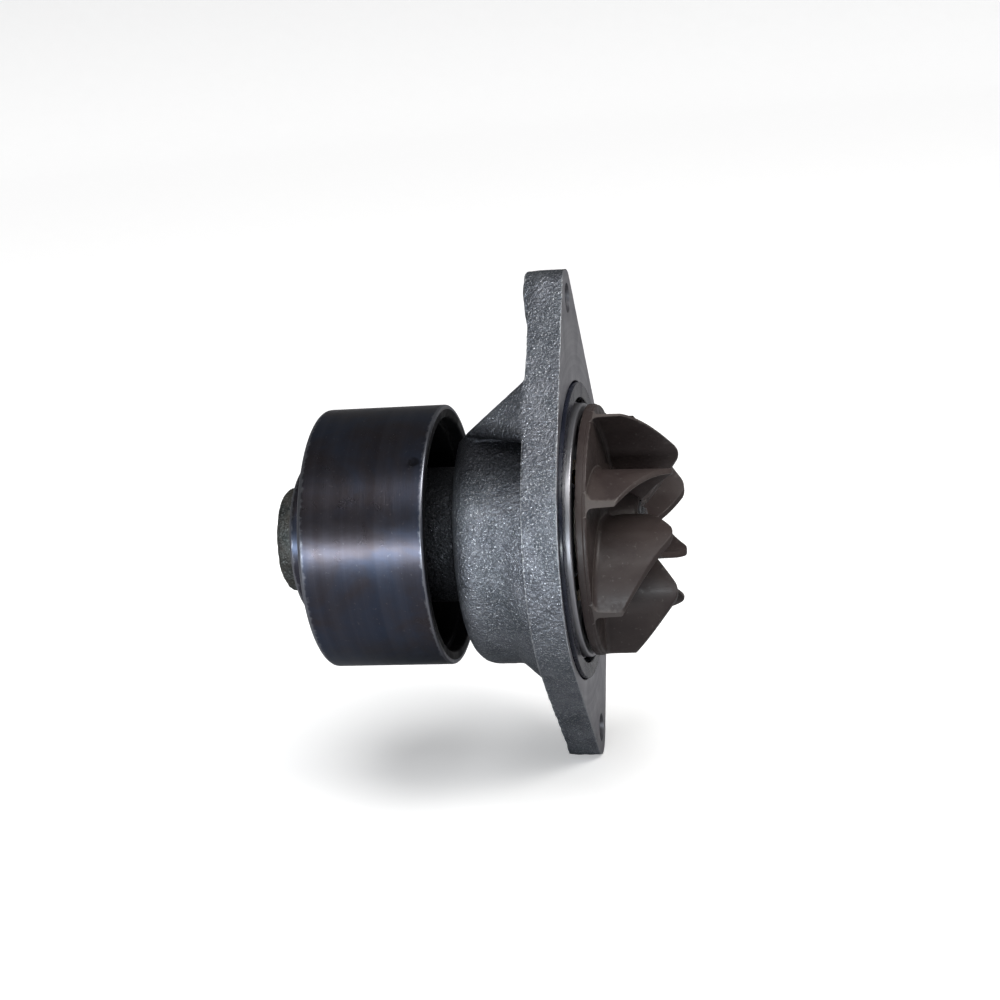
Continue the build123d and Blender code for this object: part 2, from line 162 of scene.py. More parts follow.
def lathe(name, outline, segments, sharp_degrees=38):
    """Solid made by spinning a closed (x, radius) outline about the shaft."""
    bm = bmesh.new()
    turns = [2 * math.pi * k / segments for k in range(segments)]
    rings = []
    for x, r in outline:
        if r < 1e-9:
            rings.append([bm.verts.new((x, 0, 0))] * segments)
        else:
            rings.append([bm.verts.new((x, r * math.cos(a), r * math.sin(a))) for a in turns])
    for i, ring in enumerate(rings):
        ahead = rings[(i + 1) % len(rings)]
        for k in range(segments):
            n = (k + 1) % segments
            corners = list(dict.fromkeys((ring[k], ring[n], ahead[n], ahead[k])))
            if len(corners) > 2:
                bm.faces.new(corners)
    return finish_mesh(bm, name, sharp_degrees)


def apply_modifiers(piece):
    """Turns a piece and its modifiers into a plain mesh, and drops the modifiers."""
    evaluated = piece.evaluated_get(bpy.context.evaluated_depsgraph_get())
    mesh = bpy.data.meshes.new_from_object(evaluated)
    piece.modifiers.clear()
    piece.data = mesh
    return piece


def combine(piece, tool, operation):
    """Joins or cuts a piece with a tool, then throws the tool away."""
    step = piece.modifiers.new(operation, "BOOLEAN")
    step.object = tool
    step.operation = operation
    step.solver = "MANIFOLD"
    step.material_mode = "TRANSFER"
    apply_modifiers(piece)
    bpy.data.objects.remove(tool)
    return piece


# %% [markdown]
# ## Shader helpers
#
# Node trees read badly as code when every node takes five lines. These three small helpers
# add a node, feed its sockets from numbers or from other sockets, and do sums.

# %% Node helpers
def add(tree, kind, settings=None, **sockets):
    """Adds a node. settings are its properties; sockets are values or links, by name."""
    node = tree.nodes.new(kind)
    for key, value in (settings or {}).items():
        setattr(node, key, value)
    for key, value in sockets.items():
        feed(tree, node.inputs[key.replace("_", " ")], value)
    return node


def feed(tree, socket, value):
    """Links an output socket, or sets a plain value."""
    if isinstance(value, bpy.types.NodeSocket):
        tree.links.new(value, socket)
    else:
        socket.default_value = value


def sum_of(tree, operation, *values, clamp=False):
    """One math node."""
    node = tree.nodes.new("ShaderNodeMath")
    node.operation = operation
    node.use_clamp = clamp
    for socket, value in zip(node.inputs, values):
        feed(tree, socket, value)
    return node.outputs[0]


def remap(tree, value, low, high, to_low=0.0, to_high=1.0):
    """Stretches one range of values over another, with soft ends."""
    node = add(tree, "ShaderNodeMapRange", {"interpolation_type": "SMOOTHSTEP"}, Value=value)
    for index, number in enumerate((low, high, to_low, to_high), 1):
        node.inputs[index].default_value = number
    return node.outputs[0]


def tint(red, green, blue):
    """A colour as seen on a screen, 0 to 255, turned into the linear values shaders use."""
    linear = [((c / 255 + 0.055) / 1.055) ** 2.4 if c > 10 else c / 3294 for c in (red, green, blue)]
    return (*linear, 1.0)


def mixed(tree, factor, first, second):
    """Colour between first and second."""
    node = tree.nodes.new("ShaderNodeMix")
    node.data_type = "RGBA"
    feed(tree, node.inputs["Factor"], factor)
    feed(tree, node.inputs[6], first)
    feed(tree, node.inputs[7], second)
    return node.outputs[2]


def new_group(name, numbers, results):
    """Shader node group with number inputs and named results. Returns tree, inputs, output."""
    tree = bpy.data.node_groups.new(name, "ShaderNodeTree")
    for label, value in numbers.items():
        tree.interface.new_socket(label, in_out="INPUT", socket_type="NodeSocketFloat")
        tree.interface.items_tree[label].default_value = value
    for label in results:
        tree.interface.new_socket(label, in_out="OUTPUT", socket_type="NodeSocketFloat")
    source = tree.nodes.new("NodeGroupInput")
    target = tree.nodes.new("NodeGroupOutput")
    return tree, source.outputs, target.inputs


def use_group(tree, group, **numbers):
    """Places a group in a material with its own numbers. Returns its outputs."""
    node = tree.nodes.new("ShaderNodeGroup")
    node.node_tree = group
    for key, value in numbers.items():
        feed(tree, node.inputs[key.replace("_", " ")], value)
    return node.outputs


def new_material(name, metallic, roughness):
    """Material with one Principled shader. Returns material, tree, shader."""
    material = bpy.data.materials.new(name)
    material.use_nodes = True
    tree = material.node_tree
    shader = tree.nodes["Principled BSDF"]
    shader.inputs["Metallic"].default_value = metallic
    shader.inputs["Roughness"].default_value = roughness
    return material, tree, shader


def bump(tree, shader, height, depth, strength=1.0):
    """Feeds a height, in units of depth metres, to the shader's normal."""
    node = add(tree, "ShaderNodeBump", Height=height, Distance=depth, Strength=strength)
    feed(tree, shader.inputs["Normal"], node.outputs[0])


# %% [markdown]
# ## Effects that several finishes share
#
# Four things happen to nearly every metal part. Sand leaves a **grain** on a casting. A
# lathe tool leaves fine **turning lines**, which run round the shaft, so they depend only on
# x and on the radius. Hands, oil and storage leave soft **smudges**. And edges get rubbed
# bright; that **wear** reads a value stored on the mesh, which is 1 where the mesh bends
# outwards. Each is a group with its own numbers, so that the same recipe serves coarse sand
# and fine sand.

# %% Casting grain
grain_group, given, result = new_group(
    "casting_grain", {"Size": 0.9, "Sharpness": 0.5}, ("Height", "Glint", "Tone"))
place = add(grain_group, "ShaderNodeTexCoord").outputs["Object"]
scale = sum_of(grain_group, "DIVIDE", 1000.0, given["Size"])
sand = add(
    grain_group, "ShaderNodeTexNoise", Vector=place, Scale=scale, Detail=2.0,
    Roughness=given["Sharpness"], Distortion=0.5)
flakes = add(grain_group, "ShaderNodeTexNoise", Vector=place, Detail=2.0, Distortion=0.8)
feed(grain_group, flakes.inputs["Scale"], sum_of(grain_group, "MULTIPLY", scale, 1.7))
wrinkles = add(grain_group, "ShaderNodeTexNoise", Vector=place, Detail=3.0, Distortion=1.2)
feed(grain_group, wrinkles.inputs["Scale"], sum_of(grain_group, "MULTIPLY", scale, 0.4))
broad = add(grain_group, "ShaderNodeTexNoise", Vector=place, Scale=140.0, Detail=4.0, Roughness=0.6)
height = sum_of(grain_group, "MULTIPLY_ADD", wrinkles.outputs["Fac"], 0.7, sand.outputs["Fac"])
feed(grain_group, result["Height"], height)
feed(grain_group, result["Glint"], remap(grain_group, flakes.outputs["Fac"], 0.54, 0.68))
feed(grain_group, result["Tone"], remap(grain_group, broad.outputs["Fac"], 0.3, 0.7))

# %% Turning lines
lines_group, given, result = new_group(
    "turning_lines", {"Pitch": 0.25, "Unevenness": 0.5}, ("Height", "Streak"))
place = add(lines_group, "ShaderNodeTexCoord").outputs["Object"]
parts = add(lines_group, "ShaderNodeSeparateXYZ", Vector=place).outputs
square = sum_of(
    lines_group, "MULTIPLY_ADD", parts["Y"], parts["Y"],
    sum_of(lines_group, "MULTIPLY", parts["Z"], parts["Z"]))
radius = sum_of(lines_group, "SQRT", square)
along = sum_of(lines_group, "MULTIPLY_ADD", radius, 1.37, parts["X"])
rate = sum_of(lines_group, "DIVIDE", 1000.0, given["Pitch"])
cuts = add(
    lines_group, "ShaderNodeTexNoise", {"noise_dimensions": "1D"},
    W=sum_of(lines_group, "MULTIPLY", along, rate), Scale=1.0, Detail=2.0)
bands = add(
    lines_group, "ShaderNodeTexNoise", {"noise_dimensions": "1D"},
    W=sum_of(lines_group, "MULTIPLY", along, 260.0), Scale=1.0, Detail=3.0)
feed(lines_group, result["Height"], cuts.outputs["Fac"])
uneven = remap(lines_group, bands.outputs["Fac"], 0.3, 0.7)
feed(lines_group, result["Streak"], sum_of(lines_group, "MULTIPLY", uneven, given["Unevenness"]))

# %% Smudges and edge wear
smudge_group, given, result = new_group("smudges", {"Size": 12.0, "Contrast": 1.0}, ("Cloud", "Fleck"))
place = add(smudge_group, "ShaderNodeTexCoord").outputs["Object"]
rate = sum_of(smudge_group, "DIVIDE", 1000.0, given["Size"])
cloud = add(
    smudge_group, "ShaderNodeTexNoise", Vector=place, Scale=rate, Detail=5.0, Roughness=0.58,
    Distortion=0.6)
flecks = add(smudge_group, "ShaderNodeTexNoise", Vector=place, Scale=900.0, Detail=2.0)
soft = remap(smudge_group, cloud.outputs["Fac"], 0.32, 0.68)
centred = sum_of(smudge_group, "SUBTRACT", soft, 0.5)
feed(
    smudge_group, result["Cloud"],
    sum_of(smudge_group, "MULTIPLY_ADD", centred, given["Contrast"], 0.5, clamp=True))
feed(smudge_group, result["Fleck"], remap(smudge_group, flecks.outputs["Fac"], 0.66, 0.74))

wear_group, given, result = new_group("edge_wear", {"Amount": 1.0}, ("Mask",))
stored = add(wear_group, "ShaderNodeAttribute", {"attribute_name": "edge"}).outputs["Fac"]
place = add(wear_group, "ShaderNodeTexCoord").outputs["Object"]
ragged = add(wear_group, "ShaderNodeTexNoise", Vector=place, Scale=700.0, Detail=3.0)
rubbed = sum_of(
    wear_group, "MULTIPLY_ADD", ragged.outputs["Fac"], 0.8, sum_of(wear_group, "SUBTRACT", stored, 0.8))
feed(
    wear_group, result["Mask"],
    sum_of(wear_group, "MULTIPLY", remap(wear_group, rubbed, 0.05, 0.45), given["Amount"], clamp=True))
print("groups", [g.name for g in bpy.data.node_groups])


# %% [markdown]
# The wear group needs the bend of the mesh at every vertex. The next helper measures the
# angle between the faces beside each edge, keeps the outward bends, and spreads the value a
# step or two to the neighbours.

# %% Store the outward bends on a mesh
def store_edges(piece, full_degrees=30, spread=2):
    """Writes the attribute "edge": 1 where the mesh bends outwards, 0 where it is flat."""
    bm = bmesh.new()
    bm.from_mesh(piece.data)
    bm.verts.ensure_lookup_table()
    bends = [0.0] * len(bm.verts)
    for edge in bm.edges:
        if len(edge.link_faces) == 2 and edge.is_convex:
            bend = min(1.0, edge.calc_face_angle(0.0) / math.radians(full_degrees))
            for vert in edge.verts:
                bends[vert.index] = max(bends[vert.index], bend)
    for _ in range(spread):
        wider = list(bends)
        for edge in bm.edges:
            a, b = (vert.index for vert in edge.verts)
            wider[a] = max(wider[a], bends[b] * 0.6)
            wider[b] = max(wider[b], bends[a] * 0.6)
        bends = wider
    bm.free()
    layer = piece.data.attributes.new("edge", "FLOAT", "POINT")
    layer.data.foreach_set("value", bends)


# %% [markdown]
# ## Iron finishes
#
# The housing is grey iron, blasted clean after casting: dark, metallic and full of tiny
# facets that flash. A high metallic value with a rough surface gives the dark body, and the
# grain's bump gives the facets; lighter flecks in the colour add painted glints. Inside the
# pulley's cup and in a band under the gusset the skin is painted nearly black, as painted
# shade. The faces that the lathe has cut are the same iron, but smooth and lighter.

# %% Cast iron skin
cast_iron, tree, shader = new_material("cast_iron_skin", 0.9, 0.5)
grain = use_group(tree, grain_group, Size=0.75, Sharpness=0.6)
smudge = use_group(tree, smudge_group, Size=17.0, Contrast=0.9)
wear = use_group(tree, wear_group, Amount=0.8)
base = mixed(tree, grain["Tone"], tint(106, 109, 117), tint(142, 145, 153))
base = mixed(tree, sum_of(tree, "MULTIPLY", smudge["Cloud"], 0.4), base, tint(84, 94, 97))
# Painted glints: near-white flecks in the colour, where the grain's glint mask is high, stand in for
# facets catching the light.
base = mixed(tree, sum_of(tree, "MULTIPLY", grain["Glint"], 0.65), base, tint(222, 225, 230))
base = mixed(tree, wear["Mask"], base, tint(196, 198, 202))
place = add(tree, "ShaderNodeTexCoord").outputs["Object"]
along = add(tree, "ShaderNodeSeparateXYZ", Vector=place).outputs["X"]
# Painted shade: the skin inside the pulley's cup, where the pulley shades it, is painted nearly black.
cup_painted_shade = remap(tree, along, -30 * mm, -34 * mm)
base = mixed(tree, sum_of(tree, "MULTIPLY", cup_painted_shade, 0.85), base, tint(30, 31, 33))
# Painted shade: a band of height from 14 to 40 mm behind the flange, under the gusset, is painted nearly
# black where the gusset's shadow falls. The band runs round the drum on both sides.
rise = add(tree, "ShaderNodeSeparateXYZ", Vector=place).outputs["Z"]
above = remap(tree, rise, 14 * mm, 29 * mm)
below = remap(tree, rise, 40 * mm, 35 * mm)
corner = sum_of(tree, "MULTIPLY", above, below)
corner = sum_of(tree, "MULTIPLY", corner, remap(tree, along, -8 * mm, -11.5 * mm))
base = mixed(tree, sum_of(tree, "MULTIPLY", corner, 0.88), base, tint(34, 34, 38))
feed(tree, shader.inputs["Base Color"], base)
rough = sum_of(tree, "MULTIPLY_ADD", grain["Glint"], -0.14, remap(tree, smudge["Cloud"], 0, 1, 0.38, 0.47))
feed(tree, shader.inputs["Roughness"], rough)
bump(tree, shader, grain["Height"], 0.5 * mm)

# %% Turned iron
turned_iron, tree, shader = new_material("turned_iron", 0.9, 0.4)
lines = use_group(tree, lines_group, Pitch=0.16, Unevenness=0.7)
smudge = use_group(tree, smudge_group, Size=11.0, Contrast=0.8)
base = mixed(tree, lines["Streak"], tint(160, 160, 166), tint(186, 186, 190))
base = mixed(tree, sum_of(tree, "MULTIPLY", smudge["Cloud"], 0.3), base, tint(128, 128, 134))
feed(tree, shader.inputs["Base Color"], base)
feed(tree, shader.inputs["Roughness"], remap(tree, smudge["Cloud"], 0, 1, 0.3, 0.42))
bump(tree, shader, lines["Height"], 0.012 * mm)
print("iron finishes ready")

# %% [markdown]
# ## The housing, made as a foundry makes it
#
# A foundry first pours a rough blank and then a machine shop turns the faces that must fit.
# We do the same. The blank is the CAD housing with its machined faces left out and the holes
# closed, so its outline is exactly right. A voxel remesh gives it an even skin of small
# quads, and three sizes of noise push that skin inwards, never outwards, as sand does. The
# back edges of the ears, where the mould parts, are eaten a little deeper. Then one
# lathe-shaped cutter makes the flange face, the seal groove, the raised lip and all bores in
# a single cut, and drills make the bolt holes and the weep hole. The cutter wears the turned
# finish, and the cut faces take it over.

# %% Which CAD faces are machined
def radius_of(point):
    return math.hypot(point.y, point.z)


def is_machined(points):
    """True for a CAD face that the machine shop cuts, and so isn't part of the casting."""
    slack = 0.1 * mm
    if all(abs(p.x) < 1e-6 for p in points):
        return True
    if all(radius_of(p) < case_radius + slack for p in points):
        return True
    if all(p.x > -groove_depth - slack and radius_of(p) < groove_radius + slack for p in points):
        return True
    for z in bolt_z:
        if all(math.hypot(p.y - bolt_y, p.z - z) < bolt_hole_radius + slack for p in points):
            return True
    return all(math.hypot(p.x - weep_x, p.y) < weep_radius + slack and p.z < 0 for p in points)


def casting_blank():
    """Closed blank: the cast faces of the CAD housing, with the machined openings filled."""
    bm = bmesh.new()
    bm.from_mesh(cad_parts["housing"].data)
    bmesh.ops.remove_doubles(bm, verts=bm.verts, dist=1e-6)
    cut = [f for f in bm.faces if is_machined([v.co for v in f.verts])]
    bmesh.ops.delete(bm, geom=cut, context="FACES")
    rim = [e for e in bm.edges if e.is_boundary and all(abs(v.co.x) < 1e-6 for v in e.verts)]
    raised = bmesh.ops.extrude_edge_only(bm, edges=rim)["geom"]
    for vert in (g for g in raised if isinstance(g, bmesh.types.BMVert)):
        vert.co.x = housing_high.x + 0.5 * mm
    bmesh.ops.holes_fill(bm, edges=[e for e in bm.edges if e.is_boundary], sides=0)
    bmesh.ops.triangulate(bm, faces=bm.faces)
    open_edges = sum(e.is_boundary for e in bm.edges)
    print("blank: removed", len(cut), "machined faces,", open_edges, "open edges left")
    return finish_mesh(bm, "housing_casting")


# %% Pour the blank and give it a sand skin
skin_voxel = 0.62 * mm
ear_line = 48 * mm
back_line = -7.2 * mm


def sand_depth(point):
    """How far the skin is pushed in at a point, in metres, always at least zero."""
    wave = noise.noise(point / (9 * mm)) + 1
    lump = noise.noise(point / (2.6 * mm) + Vector((7, 1, 3))) + 1
    pore = noise.noise(point / (1.1 * mm) + Vector((2, 9, 5))) + 1
    ragged = noise.noise(point / (4.2 * mm) + Vector((5, 4, 8))) + 1
    near_back = min(1.0, max(0.0, (back_line - point.x) / (2.5 * mm)))
    on_ear = min(1.0, max(0.0, (abs(point.z) - ear_line) / (8 * mm)))
    return (0.08 * wave + 0.08 * lump + 0.07 * pore + 0.26 * ragged * near_back * on_ear) * mm


housing_piece = casting_blank()
housing_piece.data.materials.append(cast_iron)
remesh = housing_piece.modifiers.new("skin", "REMESH")
remesh.mode = "VOXEL"
remesh.voxel_size = skin_voxel
apply_modifiers(housing_piece)
normals = [v.normal.copy() for v in housing_piece.data.vertices]
for vert, normal in zip(housing_piece.data.vertices, normals):
    vert.co -= normal * sand_depth(vert.co)
print("sand skin", len(housing_piece.data.polygons), "faces")


# %% Turn the face, the groove, the lip and the bores
def drill(name, radius, start, end, segments=96):
    """Round cutter between two points."""
    bm = bmesh.new()
    axis = end - start
    turn = axis.to_track_quat("Z", "Y").to_matrix().to_4x4()
    place = Matrix.Translation((start + end) / 2) @ turn
    bmesh.ops.create_cone(
        bm, cap_ends=True, segments=segments, radius1=radius, radius2=radius,
        depth=axis.length, matrix=place)
    return finish_mesh(bm, name)


lip_height = housing_high.x
far = 100 * mm
cutter_corners = [
    (lip_height + 3 * mm, 0, 0), (lip_height + 3 * mm, far, 0), (0, far, 0),
    (0, groove_radius, 0.25 * mm), (-groove_depth, groove_radius, 0.2 * mm),
    (-groove_depth, groove_inner_radius, 0.2 * mm), (-0.6 * mm, groove_inner_radius, 0.2 * mm),
    (-0.6 * mm, spigot_radius, 0.15 * mm), (lip_height, spigot_radius, 0.55 * mm),
    (lip_height, spigot_bore, 0.4 * mm), (-pocket_depth, spigot_bore, 0.3 * mm),
    (-pocket_depth, case_radius, 0.2 * mm), (case_floor, case_radius, 0.2 * mm),
    (case_floor, chamber_radius, 0), (sleeve_high.x, chamber_radius, 0),
    (sleeve_high.x, sleeve_high.z, 0), (housing_low.x - 1 * mm, sleeve_high.z, 0),
    (housing_low.x - 1 * mm, 0, 0)]
cutter = lathe("cutter", rounded(cutter_corners), 256)
cutter.data.materials.append(turned_iron)
combine(housing_piece, cutter, "DIFFERENCE")
for number, z in enumerate(bolt_z):
    tool = drill(
        "bolt_drill_" + str(number), bolt_hole_radius,
        Vector((-14 * mm, bolt_y, z)), Vector((5 * mm, bolt_y, z)))
    tool.data.materials.append(turned_iron)
    combine(housing_piece, tool, "DIFFERENCE")
tool = drill("weep_drill", weep_radius, Vector((weep_x, 0, -8 * mm)), Vector((weep_x, 0, -50 * mm)), 48)
tool.data.materials.append(turned_iron)
combine(housing_piece, tool, "DIFFERENCE")
housing_piece.data.shade_smooth()
housing_piece.data.set_sharp_from_angle(angle=math.radians(42))
store_edges(housing_piece, 50, 1)
print("housing", len(housing_piece.data.polygons), "faces,", len(housing_piece.data.materials), "finishes")

# %% Put the housing on the frame
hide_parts("housing")
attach(housing_piece, "housing")

# %% [markdown]
# ## Pulley finishes
#
# The belt runs on the outside of the cup and polishes it, so that surface is dark, smooth
# steel with faint lines and clouds of blue and brown from heat and oil. Inside the cup
# nothing touches the metal, and it stays dull and nearly black. The boss is left as forged:
# rough, grey and slightly green.

# %% Burnished track, dull inside and rough boss
dent = Vector((-41.7 * mm, -24.8 * mm, 28.8 * mm))
track_steel, tree, shader = new_material("burnished_track", 0.95, 0.3)
lines = use_group(tree, lines_group, Pitch=0.22, Unevenness=0.9)
smudge = use_group(tree, smudge_group, Size=20.0, Contrast=1.0)
small = use_group(tree, smudge_group, Size=4.5, Contrast=1.0)
wear = use_group(tree, wear_group, Amount=0.6)
base = mixed(tree, smudge["Cloud"], tint(74, 69, 73), tint(67, 76, 95))
base = mixed(tree, sum_of(tree, "MULTIPLY", lines["Streak"], 0.3), base, tint(98, 98, 108))
base = mixed(tree, sum_of(tree, "MULTIPLY", small["Fleck"], 0.22), base, tint(130, 128, 132))
place = add(tree, "ShaderNodeTexCoord").outputs["Object"]
from_dent = add(tree, "ShaderNodeVectorMath", {"operation": "DISTANCE"})
feed(tree, from_dent.inputs[0], place)
feed(tree, from_dent.inputs[1], dent)
blot = sum_of(tree, "MULTIPLY_ADD", small["Cloud"], 1.4 * mm, from_dent.outputs["Value"])
stain = remap(tree, blot, 2.6 * mm, 1.2 * mm)
base = mixed(tree, sum_of(tree, "MULTIPLY", stain, 0.7), base, tint(34, 32, 34))
base = mixed(tree, wear["Mask"], base, tint(168, 170, 178))
feed(tree, shader.inputs["Base Color"], base)
cloudy = remap(tree, smudge["Cloud"], 0, 1, 0.27, 0.31)
feed(tree, shader.inputs["Roughness"], sum_of(tree, "MULTIPLY_ADD", small["Cloud"], 0.03, cloudy))
speckle = add(tree, "ShaderNodeTexNoise", Vector=place, Scale=1400.0, Detail=2.0)
height = sum_of(tree, "MULTIPLY_ADD", speckle.outputs["Fac"], 0.6, lines["Height"])
bump(tree, shader, height, 0.016 * mm)

dull_steel, tree, shader = new_material("dull_cup_steel", 0.8, 0.55)
lines = use_group(tree, lines_group, Pitch=0.3, Unevenness=0.8)
smudge = use_group(tree, smudge_group, Size=9.0, Contrast=1.0)
base = mixed(tree, lines["Streak"], tint(34, 34, 38), tint(48, 47, 49))
base = mixed(tree, sum_of(tree, "MULTIPLY", smudge["Fleck"], 0.3), base, tint(90, 90, 94))
feed(tree, shader.inputs["Base Color"], base)
feed(tree, shader.inputs["Roughness"], remap(tree, smudge["Cloud"], 0, 1, 0.5, 0.7))
bump(tree, shader, lines["Height"], 0.03 * mm)

boss_iron, tree, shader = new_material("rough_boss", 0.75, 0.5)
grain = use_group(tree, grain_group, Size=1.2, Sharpness=0.6)
smudge = use_group(tree, smudge_group, Size=6.0, Contrast=1.0)
base = mixed(tree, grain["Tone"], tint(56, 61, 60), tint(90, 93, 92))
base = mixed(tree, sum_of(tree, "MULTIPLY", smudge["Cloud"], 0.5), base, tint(96, 88, 80))
# Painted glints: light flecks in the colour where the grain's glint mask is high.
base = mixed(tree, sum_of(tree, "MULTIPLY", grain["Glint"], 0.4), base, tint(160, 163, 163))
feed(tree, shader.inputs["Base Color"], base)
feed(tree, shader.inputs["Roughness"], remap(tree, smudge["Cloud"], 0, 1, 0.42, 0.6))
bump(tree, shader, grain["Height"], 0.6 * mm)

# %% [markdown]
# ## The pulley
#
# The cup is a plain turned shape, so a lathe outline is the natural way to make it. The
# outline is split into short stretches, because the boss gets real lumps from noise, the
# track gets one small stained dent where something struck it, and the boss has a chip in its
# rim.
# Those need vertices to move. Each face then takes the finish of the surface it lies on.

# %% Turn the pulley
rim = pulley_high.z
cup_bore = rim - 3.6 * mm
cup_step = cup_bore - 1.4 * mm
cup_back = pulley_high.x
cup_front = cup_back - 35.9 * mm
web_floor = cup_front + 5.3 * mm
shoulder_x = cup_front - 7.3 * mm
shoulder_radius = 22.0 * mm
boss_radius = 15.5 * mm
boss_end = pulley_low.x
shaft_radius = shaft_high.z
pulley_corners = [
    (boss_end, shaft_radius, 0.3 * mm), (boss_end, boss_radius, 1.7 * mm),
    (shoulder_x, boss_radius, 0.8 * mm), (shoulder_x, shoulder_radius, 0.9 * mm),
    (cup_front, shoulder_radius, 0.5 * mm), (cup_front, rim, 1.3 * mm), (cup_back, rim, 0.7 * mm),
    (cup_back, cup_bore, 0.5 * mm), (cup_back - 4 * mm, cup_bore, 0.4 * mm),
    (cup_back - 4 * mm, cup_step, 0.4 * mm), (web_floor, cup_step, 2.5 * mm),
    (web_floor, shaft_radius, 0.3 * mm)]
pulley_piece = lathe("belt_pulley", spaced(rounded(pulley_corners), 0.75 * mm), 320)
for material in (track_steel, dull_steel, boss_iron):
    pulley_piece.data.materials.append(material)


def pulley_finish(centre):
    """0 for the belt track and shoulder, 1 for the dull inside, 2 for the boss."""
    r = radius_of(centre)
    if centre.x < shoulder_x + 0.05 * mm and r < boss_radius + 1.2 * mm and r > shaft_radius + 0.2 * mm:
        return 2
    inside = centre.x > web_floor - 0.1 * mm and r < rim - 1.2 * mm
    return 1 if inside or r < shaft_radius + 0.2 * mm else 0


for face in pulley_piece.data.polygons:
    face.material_index = pulley_finish(face.center)

# %% Dent the track, lump the boss and chip its rim
chip = Vector((boss_end, -15.0 * mm, 2.6 * mm))
normals = [v.normal.copy() for v in pulley_piece.data.vertices]
for vert, normal in zip(pulley_piece.data.vertices, normals):
    point = vert.co.copy()
    r = radius_of(point)
    if point.x < shoulder_x - 0.3 * mm and r > shaft_radius + 0.6 * mm:
        lumps = noise.noise(point / (2.4 * mm)) + 1 + 0.5 * (noise.noise(point / (1.2 * mm)) + 1)
        vert.co -= normal * 0.16 * mm * lumps
        bite = max(0.0, 1 - (point - chip).length / (1.6 * mm))
        vert.co -= normal * 0.9 * mm * bite
    pit = max(0.0, 1 - (point - dent).length / (1.5 * mm))
    vert.co -= normal * 0.3 * mm * pit
store_edges(pulley_piece, 18, 1)
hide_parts("pulley")
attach(pulley_piece, "rotor")
print("pulley", len(pulley_piece.data.polygons), "faces")

# %% [markdown]
# ## The impeller
#
# The impeller is one plastic moulding: a disc, a hub and seven curved vanes. The vanes are
# all alike, so one is built by hand and a Geometry Nodes tree sets seven of them round the
# shaft. One vane is a loft: at each step outwards along its curve we place the same upright
# section, with a fillet at its foot and a small round on its free edge. The section thins
# towards its free edge and its outer end, so that it leaves the mould. Every section is
# wrapped on a cylinder about the shaft, so the outermost one ends flush with the disc's rim.
# The free edge rises from the rim to a blunt tip and falls again towards the hub.

# %% Moulded plastic
plastic, tree, shader = new_material("moulded_brown_plastic", 0.0, 0.4)
smudge = use_group(tree, smudge_group, Size=14.0, Contrast=1.0)
fine = use_group(tree, smudge_group, Size=3.0, Contrast=1.0)
wear = use_group(tree, wear_group, Amount=0.3)
base = mixed(tree, smudge["Cloud"], tint(50, 42, 41), tint(60, 52, 50))
base = mixed(tree, sum_of(tree, "MULTIPLY", fine["Fleck"], 0.35), base, tint(96, 91, 88))
base = mixed(tree, wear["Mask"], base, tint(126, 120, 116))
feed(tree, shader.inputs["Base Color"], base)
feed(tree, shader.inputs["Roughness"], remap(tree, fine["Cloud"], 0, 1, 0.36, 0.5))
shader.inputs["Specular IOR Level"].default_value = 0.34
matte = add(
    tree, "ShaderNodeTexNoise", Vector=add(tree, "ShaderNodeTexCoord").outputs["Object"],
    Scale=2200.0, Detail=3.0)
bump(tree, shader, matte.outputs["Fac"], 0.02 * mm)

# %% Vane sizes
disc_radius = impeller_high.z
disc_back = impeller_low.x
disc_front = disc_back + 3.0 * mm
vane_count = 7
vane_thickness = 2.4 * mm
tip_radius = 21.6 * mm
tip_x = disc_back + 25.77 * mm
tip_round = 2.8 * mm
outer_radius = disc_radius - 0.3 * mm
outer_x = disc_back + 10.9 * mm
inner_radius = insert_high.z + 0.2 * mm
inner_x = disc_back + 14.6 * mm
first_angle = math.radians(203.5 - 35.0)
outer_sweep = math.radians(35.0)
inner_sweep = math.radians(27.0)
foot_fillet = 1.4 * mm
edge_round = 0.3 * mm
vane_draft = 0.68
end_taper = 0.45
hub_top = disc_back + 13.8 * mm
hub_radius = insert_high.z + 2.0 * mm
hub_foot = hub_radius + 4.6 * mm


def vane_angle(r):
    """How far the vane's middle has turned at a radius, counted from its tip."""
    if r > tip_radius:
        return outer_sweep * (r - tip_radius) / (outer_radius - tip_radius)
    return inner_sweep * (r - tip_radius) / (tip_radius - inner_radius)


def disc_surface(r):
    """x of the disc's front at a radius: flat outside, rising to the hub."""
    if r > hub_foot + 4 * mm:
        share = (disc_radius - r) / (disc_radius - hub_foot - 4 * mm)
        return disc_front + 1.4 * mm * share
    share = (hub_foot + 4 * mm - max(r, hub_foot)) / (4 * mm)
    return disc_front + 1.4 * mm + 1.8 * mm * share


# %% [markdown]
# The free edge is two straight lines that meet at the tip. To round the tip, the helper
# builds that line as an outline with an arc, the same way as the lathe outlines, and then
# reads the height at any radius off it.

# %% Free edge of a vane
edge_line = rounded([
    (disc_back, outer_radius, 0), (outer_x, outer_radius, 0), (tip_x, tip_radius, tip_round),
    (inner_x, inner_radius, 0), (disc_back, inner_radius, 0)], 10)[1:-1]


def free_edge(r):
    """x of the vane's free edge at a radius."""
    for first, second in zip(edge_line, edge_line[1:]):
        if second.y <= r <= first.y and first.y > second.y:
            share = (first.y - r) / (first.y - second.y)
            return first.x + (second.x - first.x) * share
    return outer_x if r > tip_radius else inner_x


